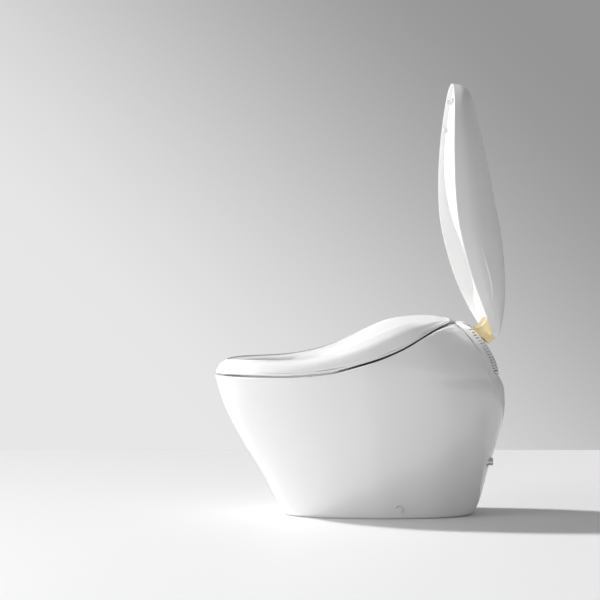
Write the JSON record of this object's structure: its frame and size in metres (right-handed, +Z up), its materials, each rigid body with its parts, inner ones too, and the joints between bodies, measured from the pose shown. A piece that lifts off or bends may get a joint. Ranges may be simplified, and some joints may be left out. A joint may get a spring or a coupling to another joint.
{
  "type": "smart toilet",
  "caption": "One-piece smart toilet: S-curved ceramic body, heated seat, domed lid on a central hinge, washing wand, warm-air dryer and rear vented cover.",
  "frame": {"origin": "centre of the drain outlet on the floor plane", "axes": "+Z up, the bowl's front faces -Y, the back faces +Y, +X is a seated user's left"},
  "size_m": [0.4229, 0.803, 1.1903],
  "materials": {
    "glazed_ceramic": "glossy glaze",
    "white_shell": "glossy moulded",
    "grey_plastic": "satin moulded",
    "gold_bracket": "satin champagne gold",
    "white_fitting": "satin moulded",
    "steel": "satin",
    "brass": "plated",
    "dark_plastic": "matte",
    "circuit_board": "solder mask",
    "heater_film": "foil",
    "rubber": "soft"
  },
  "bodies": {
    "base": {"ceramic_body": "glazed_ceramic", "rear_cover": "white_shell", "unit_base": "grey_plastic", "hinge_frame": "steel", "lid_drive_unit": "grey_plastic", "seat_drive_unit": "grey_plastic", "unit_cover": "grey_plastic", "wand_guide": "grey_plastic", "wand_motor": "steel", "dryer_fan_case": "grey_plastic", "warm_air_duct": "grey_plastic", "dryer_motor": "steel", "inlet_fitting": "brass", "supply_hose": "rubber", "flush_valve": "dark_plastic", "cord_gland": "rubber", "flush_pump_case": "grey_plastic", "flush_pump_motor": "steel", "water_heater": "grey_plastic", "wash_valve": "dark_plastic", "rim_spout": "brass", "control_case": "grey_plastic", "control_board": "circuit_board", "control_case_cover": "grey_plastic", "power_supply": "dark_plastic", "deodorizer_case": "grey_plastic", "deodorizer_filter": "dark_plastic", "drain_socket": "grey_plastic", "socket_screws": "steel", "drain_gasket": "rubber", "fixing_brackets": "grey_plastic", "side_screws": "steel", "screw_caps": "white_shell", "button_switches": "grey_plastic"},
    "lid": {"lid_outer_shell": "white_shell", "lid_inner_panel": "white_shell", "lid_buffers": "rubber", "lid_hinge_bracket": "gold_bracket", "lid_hinge_barrel": "white_fitting", "hinge_shaft": "steel"},
    "seat": {"seat_top_shell": "white_shell", "seat_base_plate": "white_shell", "seat_heater_film": "heater_film", "seat_buffers": "rubber", "seat_hinge_arm_left": "grey_plastic", "seat_hinge_arm_right": "grey_plastic"},
    "wand": {"wash_wand": "white_fitting", "wand_tip": "white_fitting", "wand_shutter": "grey_plastic"},
    "pinion": {"drive_pinion": "white_fitting", "pinion_shaft": "steel"},
    "air_flap": {"air_flap": "grey_plastic"},
    "dryer_fan": {"dryer_fan_wheel": "white_fitting"},
    "deodorizer_fan": {"deodorizer_fan": "white_fitting"},
    "pump_wheel": {"flush_pump_wheel": "white_fitting"},
    "flush_button": {"button_flush": "white_shell"},
    "stop_button": {"button_stop": "white_shell"}
  },
  "joints": [
    {"name": "lid_hinge", "type": "hinge", "parent": "base", "child": "lid", "pos_m": [0, 0.1526, 0.5003], "axis": [-1, 0, 0], "range_deg": [-93, 0]},
    {"name": "seat_hinge", "type": "hinge", "parent": "base", "child": "seat", "pos_m": [0, 0.1526, 0.5003], "axis": [-1, 0, 0], "range_deg": [0, 90]},
    {"name": "wand_slide", "type": "slide", "parent": "base", "child": "wand", "axis": [0, -0.9511, -0.309], "range_m": [0, 0.095]},
    {"name": "pinion_turn", "type": "hinge", "parent": "base", "child": "pinion", "pos_m": [0, -0.08093, 0.39901], "axis": [1, 0, 0], "range_deg": [-10, 470]},
    {"name": "air_flap_hinge", "type": "hinge", "parent": "base", "child": "air_flap", "pos_m": [0.048, -0.1565, 0.4094], "axis": [-1, 0, 0], "range_deg": [0, 60]},
    {"name": "dryer_fan_spin", "type": "hinge", "parent": "base", "child": "dryer_fan", "pos_m": [0.047, 0, 0.379], "axis": [1, 0, 0], "continuous": true},
    {"name": "deodorizer_fan_spin", "type": "hinge", "parent": "base", "child": "deodorizer_fan", "pos_m": [-0.097, 0.005, 0.36], "axis": [0, 0, 1], "continuous": true},
    {"name": "flush_pump_spin", "type": "hinge", "parent": "base", "child": "pump_wheel", "pos_m": [0, -0.03, 0.28], "axis": [0, 0, 1], "continuous": true},
    {"name": "flush_button_press", "type": "slide", "parent": "base", "child": "flush_button", "axis": [0.3595, -0.7564, -0.5464], "range_m": [0, 0.002], "stiffness_N_per_m": 400, "springref_m": -0.001},
    {"name": "stop_button_press", "type": "slide", "parent": "base", "child": "stop_button", "axis": [0.3834, -0.8007, -0.4603], "range_m": [0, 0.002], "stiffness_N_per_m": 400, "springref_m": -0.001}
  ],
  "couplings": [
    {"joint": "pinion_turn", "follows": "wand_slide", "rad_per_m": 83.333}
  ]
}
